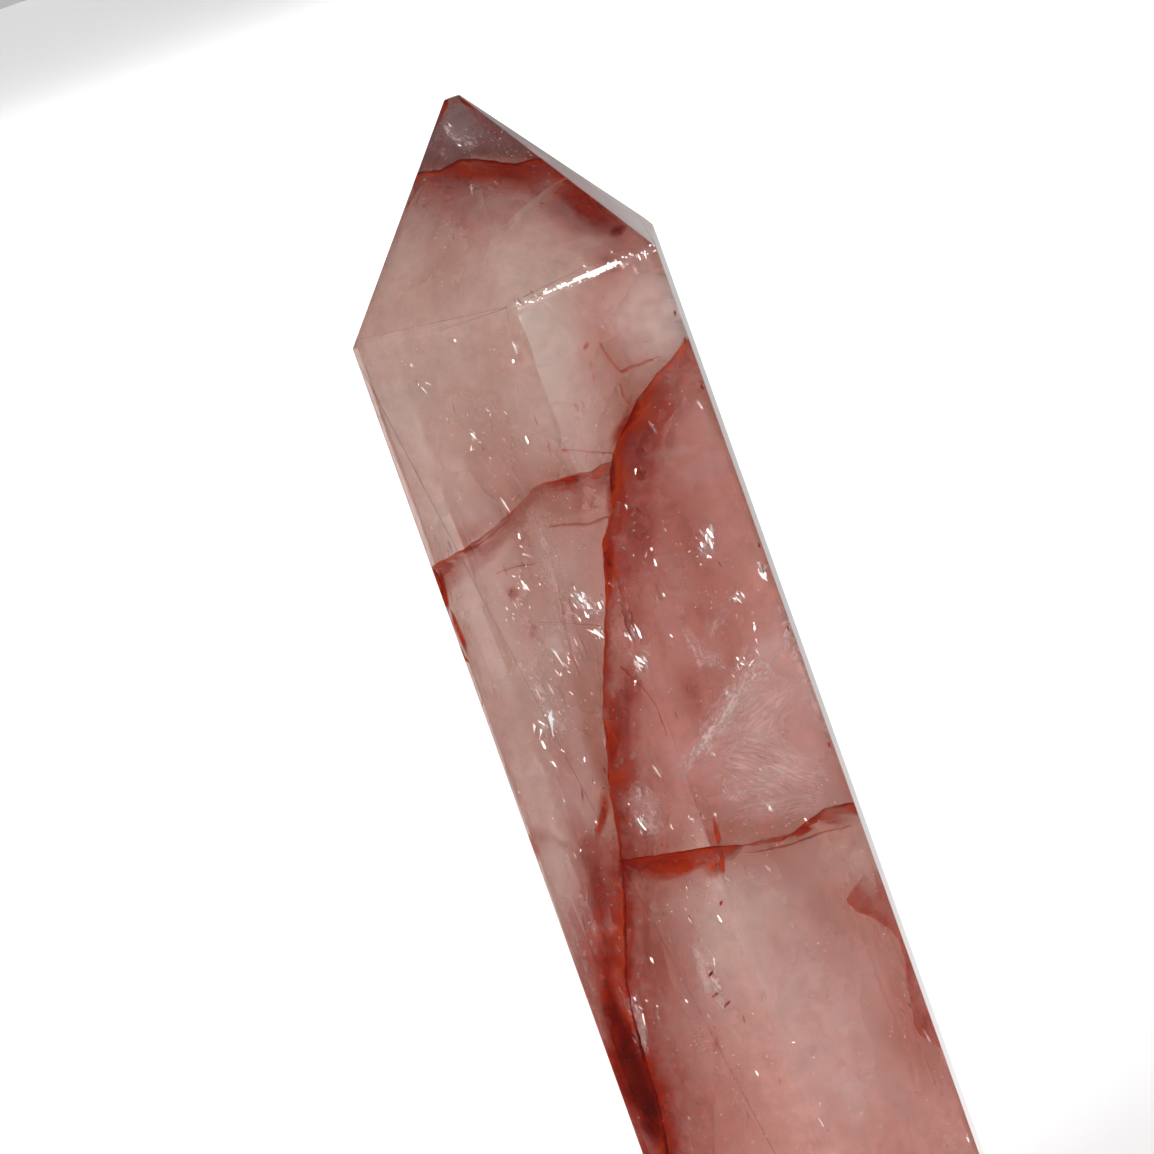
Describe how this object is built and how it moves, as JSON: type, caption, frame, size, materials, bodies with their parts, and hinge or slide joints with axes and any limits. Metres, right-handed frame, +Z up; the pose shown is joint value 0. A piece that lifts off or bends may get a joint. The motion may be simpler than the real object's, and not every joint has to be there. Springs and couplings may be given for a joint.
{
  "type": "fire quartz point",
  "caption": "Polished six-sided quartz point with red hematite films and milky veils inside, on a flat ground base.",
  "frame": {"origin": "middle of the base's bounding rectangle, on the surface that the point stands on", "axes": "+Z up the crystal towards the tip; -Y towards the prism edge between the two front faces; +X square to the right side face"},
  "size_m": [0.0228, 0.0272, 0.098],
  "materials": {
    "quartz": "polished hazy quartz, pinkish grey, with red hematite films and milky veils inside"
  },
  "bodies": {
    "root": {"crystal": "quartz"}
  },
  "joints": []
}
